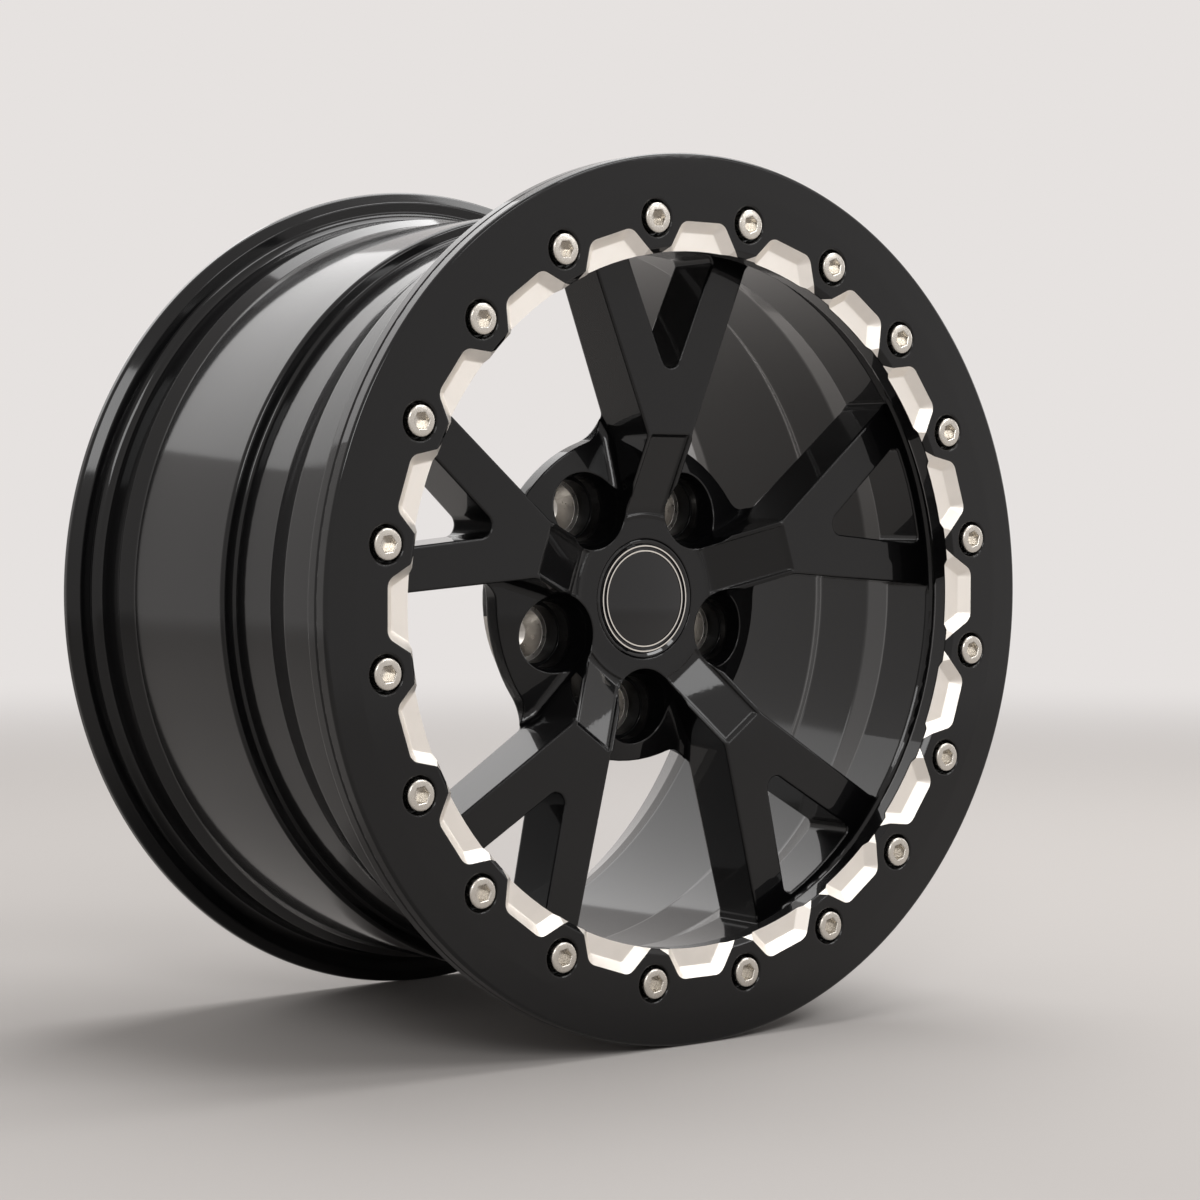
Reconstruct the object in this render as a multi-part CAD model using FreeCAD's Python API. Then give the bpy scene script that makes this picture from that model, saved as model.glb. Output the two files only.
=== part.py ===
import FreeCAD, Part
import math
import os

# Forged wheel with a bolted rim ring, in millimetres.
# +Z is up, the wheel axis lies along Y and the outboard face looks to -Y.
# The origin is on the axis, halfway between the screw heads and the rear edge.

V = FreeCAD.Vector
ORIGIN = V(0, 0, 0)
AXIS = V(0, 1, 0)

# Rim: flanges, bead seats and barrel
rim_width = 241.3        # between the tyre faces of the two flanges
bead_r = 218.3           # bead seat, at the flange
bead_taper = 5.0         # degrees
bead_length = 20.0       # bead seat, from flange to hump
flange_height = 17.3     # flange above the bead seat
bead_corner = 6.5        # round between bead seat and flange
hump_height = 1.4        # hump above the end of the bead seat
hump_length = 6.0
hump_round = 1.0
shelf_r = 213.5          # barrel between the humps and the well
shelf_round = 4.0
well_r = 206.0           # drop centre
well_front = 39.8        # front end of the well, ahead of the middle plane
well_rear = 5.0          # rear end of the well, ahead of the middle plane
well_ramp = 25.4         # length of the slope at the front of the well
well_step = 1.0          # slope at the rear of the well
well_round = 2.5
barrel_wall = 6.0
barrel_round = 6.0       # rounds on the inside of the barrel
rear_flange_t = 9.3
rear_curl = 6.0          # height of the rolled edge of the rear flange
rear_lip_wall = 6.6
flange_round = 2.5

# Front flange of the wheel and the ring bolted to it
front_flange_t = 8.65
ring_gap = 0.3           # between the lip of the ring and the flange
ring_lip_t = 8.65
ring_body_t = 13.25
ring_bore_r = 184.5
ring_bore_chamfer = 2.8
ring_flat_r = 218.0      # flat part of the ring's face ends here
ring_cone_drop = 0.5
ring_edge_round = 2.0
ring_pilot_r = 215.5     # step on the back of the ring
pilot_clearance = 0.2
edge_break = 0.8

# Screws of the ring
screw_count = 20
screw_circle_r = 202.6
screw_head_r = 8.0
screw_head_h = 10.0
screw_proud = 1.75       # head above the ring's face
screw_key = 8.0          # hexagon across flats
screw_key_depth = 5.0
screw_shank_r = 5.0
screw_length = 30.0
screw_break = 0.5
screw_clearance_r = 5.5  # hole in the ring
thread_clearance = 0.1   # between shank and the hole in the wheel
screw_bottom_room = 4.0  # hole past the end of the screw
counterbore_r = 9.6
counterbore_break = 0.8

# Machined pockets of the ring, midway between the screws
pocket_outer_r = 199.6
pocket_half = 14.0       # half width at the outer edge
pocket_flare = 30.0      # degrees, sides against the pocket's centre line
pocket_depth = 5.15
pocket_wall = 47.0       # degrees, wall against the wheel axis
pocket_corner = 6.6
pocket_floor_round = 1.2

# Spokes
spoke_count = 5
face_drop = 26.65        # spoke face behind the ring's face
knee_r = 88.6            # inner end of the flat spoke face
knee_half = 15.4         # half width of the spoke there
arm_flare = 22.3         # degrees, outer side of an arm against the spoke's centre line
spoke_back_rim = 31.5    # spoke depth at the rim
spoke_back_hub = 35.0    # spoke depth at the hub
spoke_edge = 0.8         # chamfer along the face
spoke_back_round = 8.0
lip_bore_r = 193.5       # wall between the ring and the spoke face
lip_fillet = 4.0
window_outer_r = 190.5
window_corner = 6.0
skirt_r = 89.0           # hub between the spokes
skirt_corner = 12.0
vee_tip_r = 124.2
vee_tip_round = 6.3
vee_flare = 23.4         # degrees, side of the notch against the spoke's centre line
vee_outer_r = 186.5
vee_corner = 4.0

# Hub
disc_drop = 48.55        # hub disc behind the ring's face
disc_r = 47.0            # flat part of the hub between the spokes
ramp_foot_r = 46.5       # lower end of the ramp from the disc to the spoke face
ramp_round = 14.0
web_drop = 13.7          # hub between the spokes, from the disc down to the skirt
web_fillet = 5.0
recess_edge = 2.4        # ridge left beside the recess in the ramp
recess_depth = 1.2
recess_foot_depth = 0.6
recess_foot_r = 46.0
recess_round = 1.5
knee_chamfer = 2.0
offset = 40.0            # mounting face ahead of the middle plane
hub_pad_r = 72.5
hub_pad_h = 8.0
hub_shoulder_r = 86.0
hub_shoulder_h = 24.0
hub_round = 4.0
centre_bore_r = 33.55
centre_bore_depth = 22.0
bore_chamfer = 1.5

# Lug holes, midway between the spokes
lug_circle_r = 60.0
lug_hole_r = 8.0
lug_land = 7.3           # straight hole at the mounting face
lug_cone_r = 13.0
lug_cone = 30.0          # degrees, half angle of the seat
lug_seat_r = 15.7
lug_throat_r = 16.7
lug_throat_h = 26.0      # foot of the mouth, above the mounting face
lug_mouth_r = 22.0       # mouth at the level of the hub disc

# Valve hole
valve_hole_r = 5.65
valve_turn = 68.0        # degrees from the upper spoke
valve_setback = 17.0     # hole behind the front end of the well

# Centre cap
cap_r = 32.4
cap_clearance = 0.3      # between cap and hub
cap_seat_depth = 6.0     # shoulder in the hub, behind the disc
cap_hole_r = 29.0        # hole in that shoulder
cap_skirt_clearance = 0.3
cap_skirt_wall = 2.0
cap_room_r = 31.5        # room for the catch, between that hole and the centre bore
cap_room_h = 6.0
cap_catch = 1.2          # catch on the skirt, past the hole
cap_catch_h = 2.0
cap_catch_gap = 0.2
cap_bead_r = 28.6        # outer raised bead
cap_bead_inner_r = 25.9  # inner raised bead
cap_bead_w = 0.7
cap_rise = 0.3           # beads and rim above the disc
cap_groove = 0.7         # grooves below the disc
cap_floor = 2.6          # floor under the disc of the cap
cap_disc_clearance = 0.2
cap_disc_edge = 0.3      # edge of the disc below the beads
cap_dome = 1.9           # crown of the disc

# Planes along the axis
front_reach = rim_width / 2 + front_flange_t + ring_gap + ring_lip_t + screw_proud
rear_reach = rim_width / 2 + rear_flange_t
middle_y = (front_reach - rear_reach) / 2
front_flange_y = middle_y - rim_width / 2
rear_flange_y = middle_y + rim_width / 2
well_front_y = middle_y - well_front
well_rear_y = middle_y - well_rear
flange_face_y = front_flange_y - front_flange_t
ring_back_y = flange_face_y - ring_gap
ring_face_y = ring_back_y - ring_lip_t
seat_y = ring_face_y + ring_body_t
face_y = ring_face_y + face_drop
disc_y = ring_face_y + disc_drop
mount_y = middle_y - offset
rear_y = rear_flange_y + rear_flange_t
flange_r = bead_r + flange_height
front_room = 60.0        # cutters start this far ahead of the ring's face
overrun = 1.0            # small cutters run this far past a face
cut_start_y = ring_face_y - front_room
cut_length = front_room + disc_drop + mount_y - disc_y + front_room


def rounded(points, lift):
    """Closed wire through (u, v, corner radius) points; lift turns u, v into a vector."""
    corners = []
    for i, (u, v, radius) in enumerate(points):
        here = V(u, v, 0)
        if radius == 0:
            corners.append((here, None, here))
            continue
        before = V(points[i - 1][0], points[i - 1][1], 0)
        after_point = points[(i + 1) % len(points)]
        after = V(after_point[0], after_point[1], 0)
        to_before = (before - here).normalize()
        to_after = (after - here).normalize()
        half = to_before.getAngle(to_after) / 2
        reach = radius / math.tan(half)
        inward = (to_before + to_after).normalize()
        middle = here + inward * (radius / math.sin(half) - radius)
        corners.append((here + to_before * reach, middle, here + to_after * reach))
    edges = []
    for i, (start, middle, end) in enumerate(corners):
        if middle is not None:
            arc = Part.Arc(lift(start.x, start.y), lift(middle.x, middle.y), lift(end.x, end.y))
            edges.append(arc.toShape())
        following = corners[(i + 1) % len(corners)][0]
        if (following - end).Length > 1e-6:
            edges.append(Part.makeLine(lift(end.x, end.y), lift(following.x, following.y)))
    return Part.Wire(edges)


def in_section(r, y):
    return V(r, y, 0)


def spin(points):
    """Solid of revolution about the wheel axis from (radius, y, corner radius) points."""
    face = Part.Face(rounded(points, in_section))
    return face.revolve(ORIGIN, AXIS, 360)


def turned(shape, degrees):
    copy = shape.copy()
    copy.rotate(ORIGIN, AXIS, degrees)
    return copy


def pattern(shape, count, first=0.0):
    """Copies of a shape, evenly spaced about the wheel axis."""
    return [turned(shape, first + i * 360.0 / count) for i in range(count)]


def upright_edges(solid):
    """Edges of a prism that run along the wheel axis."""
    found = []
    for edge in solid.Edges:
        first, last = edge.Vertexes[0].Point, edge.Vertexes[-1].Point
        run = last - first
        if run.Length > 1 and abs(run.y) > 0.999 * run.Length:
            found.append(edge)
    return found


def near_radius(edges, radius):
    picked = []
    for edge in edges:
        point = edge.Vertexes[0].Point
        if abs(math.hypot(point.x, point.z) - radius) < 0.01:
            picked.append(edge)
    return picked


def arm_half(t):
    """Half width of a spoke at the distance t along its centre line."""
    return knee_half + math.tan(math.radians(arm_flare)) * (t - knee_r)


def arm_at_radius(radius):
    """Point (half width, distance) where the outer side of an arm meets a radius."""
    slope = math.tan(math.radians(arm_flare))
    base = knee_half - slope * knee_r
    a = 1 + slope * slope
    b = 2 * slope * base
    c = base * base - radius * radius
    t = (-b + math.sqrt(b * b - 4 * a * c)) / (2 * a)
    return arm_half(t), t


def beside_spoke(half, t):
    """Point seen from the middle of a window, given along the spoke to its right."""
    step = math.pi / spoke_count
    return V(t * math.sin(step) - half * math.cos(step), 0, t * math.cos(step) + half * math.sin(step))


def mirror_x(point):
    return V(-point.x, point.y, point.z)


def prism(edges):
    """Cutter along the wheel axis from an outline in the XZ plane."""
    face = Part.Face(Part.Wire(edges))
    solid = face.extrude(V(0, cut_length, 0))
    solid.translate(V(0, cut_start_y, 0))
    return solid


def face_chamfer(cutter):
    """Ring that breaks the edge of a cutter's outline at the spoke face."""
    start = [f for f in cutter.Faces if abs(f.CenterOfMass.y - cut_start_y) < 1e-6][0]
    low = start.OuterWire.copy()
    low.translate(V(0, face_y + spoke_edge - cut_start_y, 0))
    high = start.OuterWire.makeOffset2D(2 * spoke_edge)
    high.translate(V(0, face_y - spoke_edge - cut_start_y, 0))
    return Part.makeLoft([low, high], True, True)


def wheel_body():
    """The turned forging, before the windows and holes."""
    slope = math.tan(math.radians(bead_taper))
    seat_end_r = bead_r - slope * bead_length
    hump_r = seat_end_r + hump_height
    well_in = well_r - barrel_wall
    shelf_in = shelf_r - barrel_wall
    bore_end_y = mount_y - centre_bore_depth
    points = [
        (cap_r + cap_clearance, disc_y, 0),
        (ramp_foot_r, disc_y, ramp_round),
        (knee_r, face_y, 0),
        (lip_bore_r, face_y, lip_fillet),
        (lip_bore_r, seat_y, 0),
        (ring_pilot_r + pilot_clearance, seat_y, 0),
        (ring_pilot_r + pilot_clearance, flange_face_y, 0),
        (flange_r - edge_break, flange_face_y, 0),
        (flange_r, flange_face_y + edge_break, 0),
        (flange_r, front_flange_y, flange_round),
        (bead_r, front_flange_y, bead_corner),
        (seat_end_r, front_flange_y + bead_length, 0),
        (hump_r, front_flange_y + bead_length + hump_length / 2, hump_round),
        (shelf_r, front_flange_y + bead_length + 2 * hump_length, shelf_round),
        (shelf_r, well_front_y - well_ramp, shelf_round),
        (well_r, well_front_y, shelf_round),
        (well_r, well_rear_y, well_round),
        (shelf_r, well_rear_y + well_step, well_round),
        (shelf_r, rear_flange_y - bead_length - 2 * hump_length, shelf_round),
        (hump_r, rear_flange_y - bead_length - hump_length / 2, hump_round),
        (seat_end_r, rear_flange_y - bead_length, 0),
        (bead_r, rear_flange_y, bead_corner),
        (flange_r - rear_curl, rear_flange_y, flange_round),
        (flange_r, rear_flange_y + rear_curl - flange_round, flange_round),
        (flange_r, rear_y, flange_round),
        (flange_r - rear_lip_wall, rear_y, flange_round),
        (flange_r - rear_curl - rear_lip_wall, rear_flange_y + rear_lip_wall, barrel_round),
        (seat_end_r - barrel_wall, rear_flange_y - bead_length, 2 * barrel_round),
        (shelf_in, rear_flange_y - bead_length - 2 * hump_length, 2 * barrel_round),
        (shelf_in, well_rear_y + barrel_wall, barrel_round),
        (well_in, well_rear_y - barrel_wall, barrel_round),
        (well_in, well_front_y - well_ramp / 2, 2 * barrel_round),
        (lip_bore_r, face_y + spoke_back_rim, spoke_back_round),
        (skirt_r + skirt_corner, face_y + spoke_back_hub, spoke_back_round),
        (hub_shoulder_r, mount_y - hub_shoulder_h, hub_round),
        (hub_pad_r, mount_y - hub_pad_h, hub_round),
        (hub_pad_r, mount_y, 0),
        (centre_bore_r + bore_chamfer, mount_y, 0),
        (centre_bore_r, mount_y - bore_chamfer, 0),
        (centre_bore_r, bore_end_y, 0),
        (cap_room_r, bore_end_y, 0),
        (cap_room_r, bore_end_y - cap_room_h, 0),
        (cap_hole_r, bore_end_y - cap_room_h, 0),
        (cap_hole_r, disc_y + cap_seat_depth, 0),
        (cap_r + cap_clearance, disc_y + cap_seat_depth, 0),
    ]
    return spin(points)


def window_edges():
    """Outline of a window and of the hub inside it, seen from its middle."""
    half, t = arm_at_radius(window_outer_r)
    outer = beside_spoke(half, t)
    knee = beside_spoke(knee_half, knee_r)
    inner = beside_spoke(knee_half, ramp_foot_r)
    return [
        Part.makeLine(inner, knee),
        Part.makeLine(knee, outer),
        Part.Arc(outer, V(0, 0, window_outer_r), mirror_x(outer)).toShape(),
        Part.makeLine(mirror_x(outer), mirror_x(knee)),
        Part.makeLine(mirror_x(knee), mirror_x(inner)),
        Part.makeLine(mirror_x(inner), inner),
    ]


def window_cutter():
    """Cuts the window down to the sloping hub between two spokes."""
    cutter = prism(window_edges())
    corners = near_radius(upright_edges(cutter), window_outer_r)
    cutter = cutter.makeFillet(window_corner, corners)
    knees = near_radius(upright_edges(cutter), math.hypot(knee_half, knee_r))
    cutter = cutter.makeFillet(skirt_corner, knees)
    slope = web_drop / (skirt_r - disc_r)
    far_r = window_outer_r + skirt_corner
    above_hub = spin([
        (cap_r, cut_start_y - overrun, 0),
        (far_r, cut_start_y - overrun, 0),
        (far_r, disc_y + slope * (far_r - disc_r), 0),
        (cap_r, disc_y + slope * (cap_r - disc_r), 0),
    ])
    recess = cutter.common(above_hub)
    floor = [f for f in recess.Faces if f.Surface.TypeId == "Part::GeomCone"][0]
    return cutter, recess.makeFillet(web_fillet, floor.Edges)


def skirt_cutter():
    """Clears the window outside the skirt of the hub, through the whole depth."""
    half, t = arm_at_radius(window_outer_r)
    outer = beside_spoke(half + edge_break, t)
    outer_r = math.hypot(outer.x, outer.z)
    half, t = arm_at_radius(skirt_r)
    inner = beside_spoke(half + edge_break, t)
    inner_r = math.hypot(inner.x, inner.z)
    solid = prism([
        Part.makeLine(inner, outer),
        Part.Arc(outer, V(0, 0, outer_r), mirror_x(outer)).toShape(),
        Part.makeLine(mirror_x(outer), mirror_x(inner)),
        Part.Arc(mirror_x(inner), V(0, 0, inner_r), inner).toShape(),
    ])
    return solid.makeFillet(skirt_corner, near_radius(upright_edges(solid), inner_r))


def vee_cutter():
    """Notch between the two arms of a spoke."""
    slope = math.tan(math.radians(vee_flare))
    reach = vee_tip_round / math.sin(math.radians(vee_flare)) - vee_tip_round
    apex = vee_tip_r - reach
    a = 1 + slope * slope
    b = -2 * slope * slope * apex
    c = slope * slope * apex * apex - vee_outer_r ** 2
    t = (-b + math.sqrt(b * b - 4 * a * c)) / (2 * a)
    outer = V(slope * (t - apex), 0, t)
    solid = prism([
        Part.makeLine(V(0, 0, apex), outer),
        Part.Arc(outer, V(0, 0, vee_outer_r), mirror_x(outer)).toShape(),
        Part.makeLine(mirror_x(outer), V(0, 0, apex)),
    ])
    solid = solid.makeFillet(vee_tip_round, near_radius(upright_edges(solid), apex))
    return solid.makeFillet(vee_corner, near_radius(upright_edges(solid), vee_outer_r))


def recess_cutter():
    """Shallow recess in the ramp from the hub disc up to the spoke face."""
    slope = (disc_y - face_y) / (knee_r - ramp_foot_r)
    half = knee_half - recess_edge
    top_y = face_y - front_room
    knee_t = knee_r - knee_chamfer
    knee_y = disc_y - slope * (knee_t - ramp_foot_r) + recess_depth
    foot_y = disc_y + recess_foot_depth
    foot_t = ramp_foot_r + (recess_depth - recess_foot_depth) / slope
    points = [
        (knee_t + knee_y - top_y, top_y, 0),
        (knee_t, knee_y, 0),
        (foot_t, foot_y, ramp_round / 2),
        (centre_bore_r, foot_y, 0),
        (centre_bore_r, top_y, 0),
    ]
    face = Part.Face(rounded(points, lambda t, y: V(-half, y, t)))
    solid = face.extrude(V(2 * half, 0, 0))
    sides = []
    for edge in solid.Edges:
        ends = [v.Point for v in edge.Vertexes]
        one_side = ends[0].x * ends[-1].x > 0
        if one_side and all(abs(abs(p.x) - half) < 1e-6 and p.y > knee_y - 1e-6 for p in ends):
            sides.append(edge)
    solid = solid.makeFillet(recess_round, sides)
    ring = spin([
        (recess_foot_r, top_y - overrun, 0),
        (flange_r, top_y - overrun, 0),
        (flange_r, foot_y + overrun, 0),
        (recess_foot_r, foot_y + overrun, 0),
    ])
    return solid.common(ring)


def lug_cutter():
    """Mouth, seat and hole for one lug, midway between two spokes."""
    cone_h = (lug_cone_r - lug_hole_r) / math.tan(math.radians(lug_cone))
    seat_top = mount_y - lug_land - cone_h
    throat_y = mount_y - lug_throat_h
    slope = (lug_mouth_r - lug_throat_r) / (throat_y - disc_y)
    top_y = disc_y - front_room
    solid = spin([
        (0, top_y, 0),
        (lug_mouth_r + slope * front_room, top_y, 0),
        (lug_throat_r, throat_y, 0),
        (lug_seat_r, throat_y, 0),
        (lug_seat_r, seat_top, 0),
        (lug_cone_r, seat_top, 0),
        (lug_hole_r, mount_y - lug_land, 0),
        (lug_hole_r, mount_y + front_room, 0),
        (0, mount_y + front_room, 0),
    ])
    solid.translate(V(0, 0, lug_circle_r))
    return solid


def thread_hole():
    """Blind hole in the wheel for one screw of the ring."""
    radius = screw_shank_r + thread_clearance
    end_y = ring_face_y - screw_proud + screw_head_h + screw_length + screw_bottom_room
    solid = spin([
        (0, ring_face_y, 0),
        (radius, ring_face_y, 0),
        (radius, end_y, 0),
        (0, end_y + radius / 2, 0),
    ])
    solid.translate(V(0, 0, screw_circle_r))
    return solid


def forged_wheel():
    """One-piece wheel: barrel, spokes and hub."""
    window_step = 180.0 / spoke_count
    wheel = wheel_body()
    outline, cutter = window_cutter()
    wheel = wheel.cut(pattern(cutter, spoke_count, window_step))
    wheel = wheel.cut(pattern(skirt_cutter(), spoke_count, window_step))
    vee = vee_cutter()
    wheel = wheel.cut(pattern(vee, spoke_count))
    wheel = wheel.cut(pattern(face_chamfer(vee), spoke_count))
    wheel = wheel.cut(pattern(face_chamfer(outline), spoke_count, window_step))
    wheel = wheel.cut(pattern(recess_cutter(), spoke_count))
    wheel = wheel.cut(pattern(lug_cutter(), spoke_count, window_step))
    wheel = wheel.cut(pattern(thread_hole(), screw_count, 180.0 / screw_count))
    valve_foot = V(0, well_front_y + valve_setback, well_r - 2 * barrel_wall)
    valve = Part.makeCylinder(valve_hole_r, 3 * barrel_wall, valve_foot, V(0, 0, 1))
    return wheel.cut(turned(valve, valve_turn))


def pocket_cutter():
    """One machined pocket of the ring, with sloping walls and an open inner end."""
    spread = math.tan(math.radians(pocket_wall))
    flare = math.radians(pocket_flare)
    length = pocket_outer_r - ring_bore_r + 4 * pocket_depth

    def outline(depth):
        inset = depth * spread
        outer = pocket_outer_r - inset
        shift = inset / math.cos(flare)
        wide_outer = pocket_half + inset * math.tan(flare) - shift
        inner = pocket_outer_r - length
        wide_inner = pocket_half + length * math.tan(flare) - shift
        corner = pocket_corner - inset
        points = [
            (wide_inner, inner, 0),
            (wide_outer, outer, corner),
            (-wide_outer, outer, corner),
            (-wide_inner, inner, 0),
        ]
        return rounded(points, lambda x, z: V(x, ring_face_y + depth, z))

    solid = Part.makeLoft([outline(-overrun), outline(pocket_depth)], True, True)
    floor = [f for f in solid.Faces if abs(f.CenterOfMass.y - ring_face_y - pocket_depth) < 1e-6][0]
    inner = min(v.Point.z for v in floor.Vertexes)
    edges = [e for e in floor.Edges if max(v.Point.z for v in e.Vertexes) > inner + 1e-6]
    return solid.makeFillet(pocket_floor_round, edges)


def rim_ring():
    """Flat ring on the front of the rim, with pockets between its screws."""
    ring = spin([
        (ring_bore_r, ring_face_y + ring_bore_chamfer, 0),
        (ring_bore_r + ring_bore_chamfer, ring_face_y, 0),
        (ring_flat_r, ring_face_y, 0),
        (flange_r, ring_face_y + ring_cone_drop, ring_edge_round),
        (flange_r, ring_back_y - edge_break, 0),
        (flange_r - edge_break, ring_back_y, 0),
        (ring_pilot_r, ring_back_y, 0),
        (ring_pilot_r, seat_y, 0),
        (ring_bore_r, seat_y, 0),
    ])
    hole = spin([
        (0, cut_start_y, 0),
        (counterbore_r + counterbore_break + front_room, ring_face_y - front_room, 0),
        (counterbore_r, ring_face_y + counterbore_break, 0),
        (counterbore_r, ring_face_y - screw_proud + screw_head_h, 0),
        (screw_clearance_r, ring_face_y - screw_proud + screw_head_h, 0),
        (screw_clearance_r, seat_y + overrun, 0),
        (0, seat_y + overrun, 0),
    ])
    hole.translate(V(0, 0, screw_circle_r))
    ring = ring.cut(pattern(pocket_cutter(), screw_count))
    return ring.cut(pattern(hole, screw_count, 180.0 / screw_count))


def ring_screw():
    """Socket head screw, standing at the top of the screw circle."""
    top_y = ring_face_y - screw_proud
    seat = top_y + screw_head_h
    end = seat + screw_length
    screw = spin([
        (0, top_y, 0),
        (screw_head_r - screw_break, top_y, 0),
        (screw_head_r, top_y + screw_break, 0),
        (screw_head_r, seat, 0),
        (screw_shank_r, seat, 0),
        (screw_shank_r, end - 2 * screw_break, 0),
        (screw_shank_r - 2 * screw_break, end, 0),
        (0, end, 0),
    ])
    corner = screw_key / math.sqrt(3)
    angles = [k * math.pi / 3 for k in range(7)]
    hexagon = [V(corner * math.cos(a), top_y - overrun, corner * math.sin(a)) for a in angles]
    key = Part.Face(Part.makePolygon(hexagon)).extrude(V(0, screw_key_depth + overrun, 0))
    screw = screw.cut(key)
    screw.translate(V(0, 0, screw_circle_r))
    return screw


def cap_body():
    """Pressed-in cap with two raised beads and a pocket for its disc."""
    seat = disc_y + cap_seat_depth
    skirt_r = cap_hole_r - cap_skirt_clearance
    catch_y = mount_y - centre_bore_depth - cap_room_h + cap_catch_gap
    high = disc_y - cap_rise
    low = disc_y + cap_groove
    inner_r = cap_bead_inner_r - cap_bead_w / 2
    return spin([
        (0, disc_y + cap_floor, 0),
        (inner_r, disc_y + cap_floor, 0),
        (inner_r, high, 0),
        (cap_bead_inner_r + cap_bead_w / 2, high, 0),
        (cap_bead_inner_r + cap_bead_w, low, 0),
        (cap_bead_r - cap_bead_w, low, 0),
        (cap_bead_r - cap_bead_w / 2, high, 0),
        (cap_bead_r + cap_bead_w / 2, high, 0),
        (cap_bead_r + cap_bead_w, low, 0),
        (cap_r - 2 * cap_bead_w, high, 0),
        (cap_r - cap_bead_w, high, 0),
        (cap_r, high + cap_bead_w, 0),
        (cap_r, seat, 0),
        (skirt_r, seat, 0),
        (skirt_r, catch_y, 0),
        (cap_hole_r + cap_catch, catch_y, 0),
        (skirt_r, catch_y + cap_catch_h, 0),
        (skirt_r - cap_skirt_wall, catch_y + cap_catch_h, 0),
        (skirt_r - cap_skirt_wall, seat, 0),
        (0, seat, 0),
    ])


def cap_disc():
    """Domed disc set into the cap."""
    radius = cap_bead_inner_r - cap_bead_w / 2 - cap_disc_clearance
    floor = disc_y + cap_floor
    edge = disc_y - cap_rise + cap_disc_edge
    sphere_r = (radius ** 2 + cap_dome ** 2) / (2 * cap_dome)
    angle = math.asin(radius / sphere_r) / 2
    rim = V(radius, edge, 0)
    crown = V(0, edge - cap_dome, 0)
    middle = V(sphere_r * math.sin(angle), edge - cap_dome + sphere_r * (1 - math.cos(angle)), 0)
    outline = Part.Wire([
        Part.makeLine(V(0, floor, 0), V(radius, floor, 0)),
        Part.makeLine(V(radius, floor, 0), rim),
        Part.Arc(rim, middle, crown).toShape(),
        Part.makeLine(crown, V(0, floor, 0)),
    ])
    return Part.Face(outline).revolve(ORIGIN, AXIS, 360)


os.makedirs("parts", exist_ok=True)
forged_wheel().exportStep("parts/forged_wheel.step")
rim_ring().exportStep("parts/rim_ring.step")
screws = pattern(ring_screw(), screw_count, 180.0 / screw_count)
Part.makeCompound(screws).exportStep("parts/ring_screws.step")
cap_body().exportStep("parts/cap_body.step")
cap_disc().exportStep("parts/cap_disc.step")
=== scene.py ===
"""Gloss black forged wheel with a screwed-on rim ring, dressed on its solids and lit as in a small studio."""

from __future__ import annotations

import logging
import math
from dataclasses import dataclass, field
from enum import Enum
from typing import Callable

import bmesh
import bpy
from mathutils import Matrix, Vector

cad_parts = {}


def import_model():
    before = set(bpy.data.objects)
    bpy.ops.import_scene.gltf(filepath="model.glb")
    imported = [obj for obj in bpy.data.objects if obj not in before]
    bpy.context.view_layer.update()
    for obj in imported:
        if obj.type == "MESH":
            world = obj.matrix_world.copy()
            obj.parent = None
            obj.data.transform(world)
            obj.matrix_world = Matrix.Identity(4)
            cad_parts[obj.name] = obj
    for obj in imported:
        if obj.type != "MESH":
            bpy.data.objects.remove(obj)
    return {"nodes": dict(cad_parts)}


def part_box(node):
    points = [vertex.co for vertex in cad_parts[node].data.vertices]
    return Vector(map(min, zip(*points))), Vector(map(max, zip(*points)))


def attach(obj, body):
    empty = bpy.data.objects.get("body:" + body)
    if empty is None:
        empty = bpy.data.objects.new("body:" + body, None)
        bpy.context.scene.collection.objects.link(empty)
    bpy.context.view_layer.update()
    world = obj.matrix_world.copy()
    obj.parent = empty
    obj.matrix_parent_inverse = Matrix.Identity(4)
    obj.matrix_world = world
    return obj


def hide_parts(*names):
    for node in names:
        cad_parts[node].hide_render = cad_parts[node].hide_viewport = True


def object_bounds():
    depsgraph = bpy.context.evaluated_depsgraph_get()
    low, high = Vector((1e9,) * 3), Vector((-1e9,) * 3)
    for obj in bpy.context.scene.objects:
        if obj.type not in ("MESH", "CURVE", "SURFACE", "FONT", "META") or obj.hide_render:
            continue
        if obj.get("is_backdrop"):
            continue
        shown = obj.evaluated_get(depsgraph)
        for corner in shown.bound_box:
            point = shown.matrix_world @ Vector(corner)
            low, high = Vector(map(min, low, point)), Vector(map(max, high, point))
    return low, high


LOG = logging.getLogger("wheel")
MM = 0.001
WELD = MM / 1000  # points nearer than this are one
SOFT_ANGLE = math.radians(25)  # spun faces that meet at less than this share their normals
EMPTY_NORMAL = 0.5  # a normal shorter than this was never written
WAVE_PERIOD = math.pi / 10  # length of one band of a wave texture at a scale of one

FaceTest = Callable[[Vector, Vector], bool]


def linear(hex_colour: str) -> tuple[float, float, float, float]:
    """Turn an sRGB hex colour into linear red, green, blue and alpha.

    Args:
        hex_colour: a hash and six hex digits.

    Returns:
        The linear colour, with an alpha of one.
    """
    channels = [int(hex_colour[i:i + 2], 16) / 255 for i in (1, 3, 5)]
    lit = [c / 12.92 if c <= 0.04045 else ((c + 0.055) / 1.055) ** 2.4 for c in channels]
    return lit[0], lit[1], lit[2], 1.0


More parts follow.
